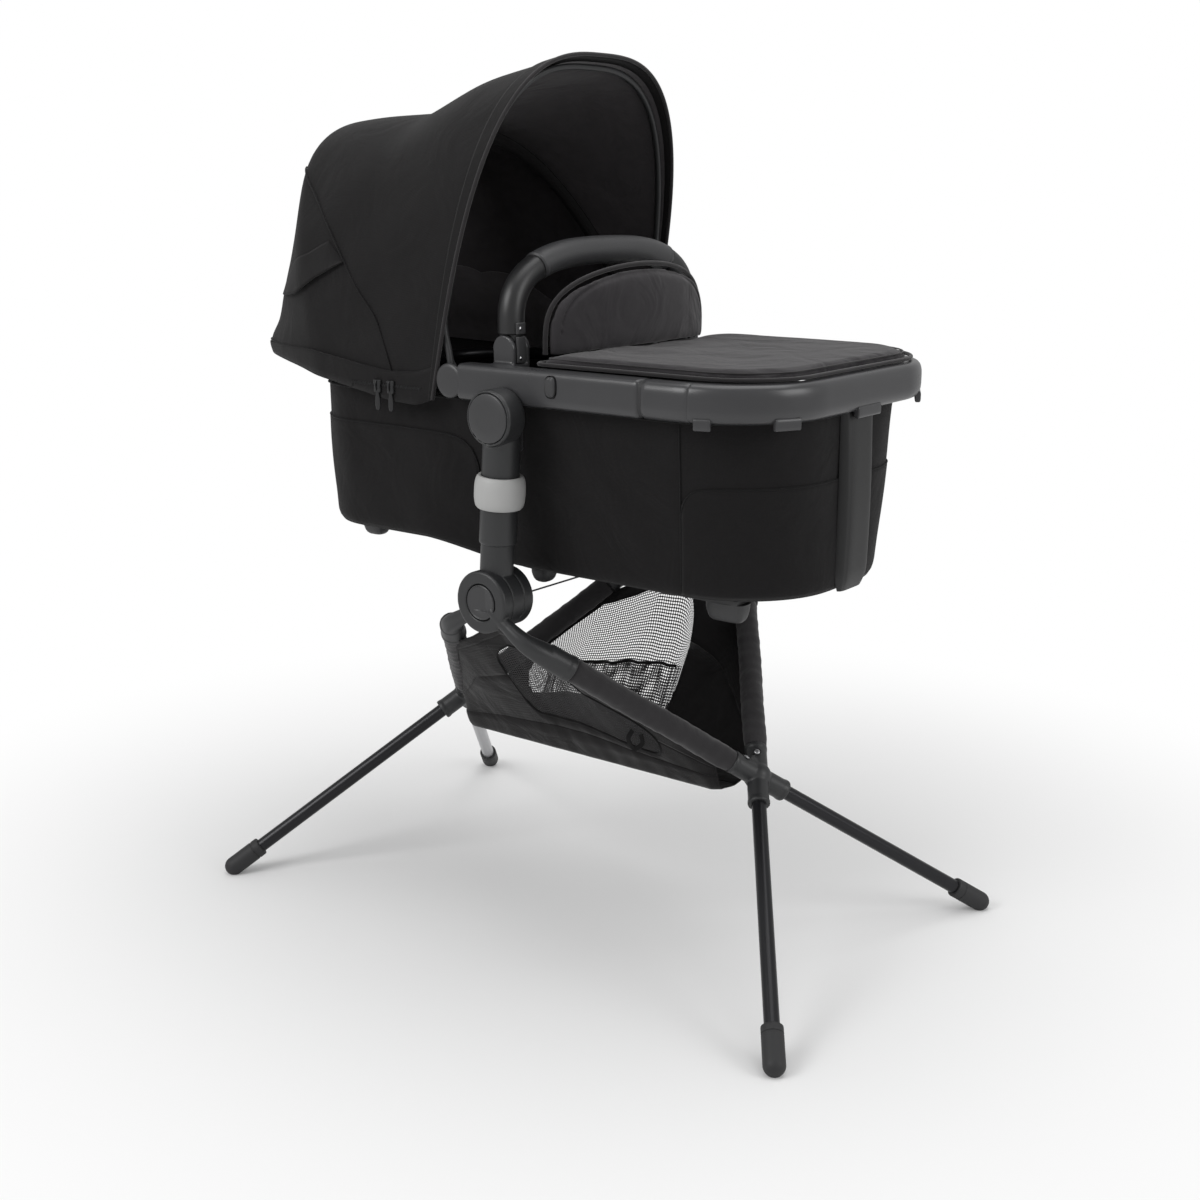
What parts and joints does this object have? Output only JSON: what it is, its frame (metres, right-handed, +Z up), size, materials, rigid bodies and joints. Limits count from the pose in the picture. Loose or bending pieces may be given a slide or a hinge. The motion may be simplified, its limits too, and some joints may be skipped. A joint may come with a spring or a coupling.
{
  "type": "carrycot on folding stand",
  "caption": "Deep fabric carrycot with a folding hood, apron and carry handle, lifted onto a folding four-legged stand with a fabric basket.",
  "frame": {"origin": "on the floor under the middle of the four feet", "axes": "+Z up, +X towards the foot end of the carrycot, +Y to the left of a person standing at the head end"},
  "size_m": [0.869, 0.5466, 1.046],
  "materials": {
    "frame": "satin dark grey moulding",
    "anodised": "black anodised tube",
    "silver": "silver anodised",
    "collar": "light grey satin moulding",
    "rubber": "matt black rubber",
    "fabric": "black woven cloth",
    "apron": "charcoal woven cloth",
    "leather": "black grained leatherette",
    "steel": "plain steel",
    "foam": "quilted grey cover"
  },
  "bodies": {
    "uprights": {"upright_post_right": "frame", "upright_sleeve_right": "frame", "upright_cap_right": "frame", "drum_pin_right": "steel", "upright_post_left": "frame", "upright_sleeve_left": "frame", "upright_cap_left": "frame", "drum_pin_left": "steel", "sync_cable": "steel"},
    "front_frame": {"front_arm_head_right": "frame", "front_arm_tube_right": "anodised", "front_arm_cover_right": "fabric", "front_arm_head_left": "frame", "front_arm_tube_left": "anodised", "front_arm_cover_left": "fabric", "front_cross": "frame", "basket": "fabric"},
    "rear_frame": {"rear_arm_head_right": "frame", "rear_arm_tube_right": "anodised", "rear_arm_cover_right": "fabric", "rear_arm_head_left": "frame", "rear_arm_tube_left": "anodised", "rear_arm_cover_left": "fabric", "rear_cross": "frame"},
    "collar_right": {"release_collar_right": "collar"},
    "lock_right": {"lock_button_right": "frame"},
    "collar_left": {"release_collar_left": "collar"},
    "lock_left": {"lock_button_left": "frame"},
    "front_leg_right": {"leg_front_right": "anodised", "foot_front_right": "rubber"},
    "front_snap_right": {"snap_button_front_right": "silver"},
    "front_leg_left": {"leg_front_left": "anodised", "foot_front_left": "rubber"},
    "front_snap_left": {"snap_button_front_left": "silver"},
    "rear_leg_right": {"leg_rear_right": "anodised", "foot_rear_right": "rubber"},
    "rear_snap_right": {"snap_button_rear_right": "silver"},
    "rear_leg_left": {"leg_rear_left": "silver", "foot_rear_left": "rubber"},
    "rear_snap_left": {"snap_button_rear_left": "silver"},
    "carrycot": {"rail_front": "frame", "rail_head": "anodised", "rail_side_right": "frame", "rail_side_left": "frame", "body_fabric": "fabric", "mattress": "foam", "base_plate": "frame", "front_spine": "frame", "apron": "apron", "wind_flap": "apron", "hood_canopy": "fabric"},
    "memory_right": {"memory_button_right": "frame"},
    "memory_left": {"memory_button_left": "frame"},
    "hood_front": {"hood_bow_front": "frame"},
    "hood_rear": {"hood_bow_rear": "frame"},
    "handle": {"handle_end_right": "frame", "handle_end_left": "frame", "handle_grip": "leather"},
    "zip": {"zip_slider": "frame"}
  },
  "joints": [
    {"name": "front_fold", "type": "hinge", "parent": "uprights", "child": "front_frame", "pos_m": [0.011, 0, 0.443], "axis": [0, 1, 0], "range_deg": [0, 40], "deforming": ["basket"]},
    {"name": "rear_fold", "type": "hinge", "parent": "uprights", "child": "rear_frame", "pos_m": [0.011, 0, 0.443], "axis": [0, 1, 0], "range_deg": [-40, 0]},
    {"name": "collar_right_lift", "type": "slide", "parent": "uprights", "child": "collar_right", "axis": [0.0732, 0, 0.9973], "range_m": [0, 0.012], "stiffness_N_per_m": 300},
    {"name": "lock_right_press", "type": "slide", "parent": "front_frame", "child": "lock_right", "axis": [0, 1, 0], "range_m": [0, 0.002], "stiffness_N_per_m": 500},
    {"name": "collar_left_lift", "type": "slide", "parent": "uprights", "child": "collar_left", "axis": [0.0732, 0, 0.9973], "range_m": [0, 0.012], "stiffness_N_per_m": 300},
    {"name": "lock_left_press", "type": "slide", "parent": "front_frame", "child": "lock_left", "axis": [0, -1, 0], "range_m": [0, 0.002], "stiffness_N_per_m": 500},
    {"name": "front_leg_right_pull", "type": "slide", "parent": "front_frame", "child": "front_leg_right", "axis": [0.4956, -0.6734, -0.5485], "range_m": [0, 0.04]},
    {"name": "front_snap_right_press", "type": "slide", "parent": "front_frame", "child": "front_snap_right", "axis": [-0.3456, -0.4319, -0.8331], "range_m": [0, 0.002], "stiffness_N_per_m": 500},
    {"name": "front_leg_left_pull", "type": "slide", "parent": "front_frame", "child": "front_leg_left", "axis": [0.4956, 0.6734, -0.5485], "range_m": [0, 0.04]},
    {"name": "front_snap_left_press", "type": "slide", "parent": "front_frame", "child": "front_snap_left", "axis": [-0.3456, 0.4319, -0.8331], "range_m": [0, 0.002], "stiffness_N_per_m": 500},
    {"name": "rear_leg_right_pull", "type": "slide", "parent": "rear_frame", "child": "rear_leg_right", "axis": [-0.4919, -0.6687, -0.5576], "range_m": [0, 0.04]},
    {"name": "rear_snap_right_press", "type": "slide", "parent": "rear_frame", "child": "rear_snap_right", "axis": [0.3431, -0.4617, -0.818], "range_m": [0, 0.002], "stiffness_N_per_m": 500},
    {"name": "rear_leg_left_pull", "type": "slide", "parent": "rear_frame", "child": "rear_leg_left", "axis": [-0.4919, 0.6687, -0.5576], "range_m": [0, 0.04]},
    {"name": "rear_snap_left_press", "type": "slide", "parent": "rear_frame", "child": "rear_snap_left", "axis": [0.3431, 0.4617, -0.818], "range_m": [0, 0.002], "stiffness_N_per_m": 500},
    {"name": "carrycot_lift", "type": "slide", "parent": "uprights", "child": "carrycot", "axis": [0, 0, 1], "range_m": [0, 0.25]},
    {"name": "memory_right_press", "type": "slide", "parent": "carrycot", "child": "memory_right", "axis": [0, 1, 0], "range_m": [0, 0.0025], "stiffness_N_per_m": 500},
    {"name": "memory_left_press", "type": "slide", "parent": "carrycot", "child": "memory_left", "axis": [0, -1, 0], "range_m": [0, 0.0025], "stiffness_N_per_m": 500},
    {"name": "hood_fold", "type": "hinge", "parent": "carrycot", "child": "hood_front", "pos_m": [-0.0605, 0, 0.68753], "axis": [0, 1, 0], "range_deg": [-60, 0], "deforming": ["hood_canopy"]},
    {"name": "hood_rear_follow", "type": "hinge", "parent": "carrycot", "child": "hood_rear", "pos_m": [-0.0605, 0, 0.68753], "axis": [0, 1, 0], "range_deg": [-24, 0]},
    {"name": "handle_fold", "type": "hinge", "parent": "carrycot", "child": "handle", "pos_m": [0.002, 0, 0.72353], "axis": [0, 1, 0], "range_deg": [-60, 0]},
    {"name": "zip_run", "type": "slide", "parent": "carrycot", "child": "zip", "axis": [-1, 0, 0], "range_m": [0, 0.03]}
  ],
  "couplings": [
    {"joint": "rear_fold", "follows": "front_fold", "ratio": -1},
    {"joint": "hood_rear_follow", "follows": "hood_fold", "ratio": 0.4}
  ]
}
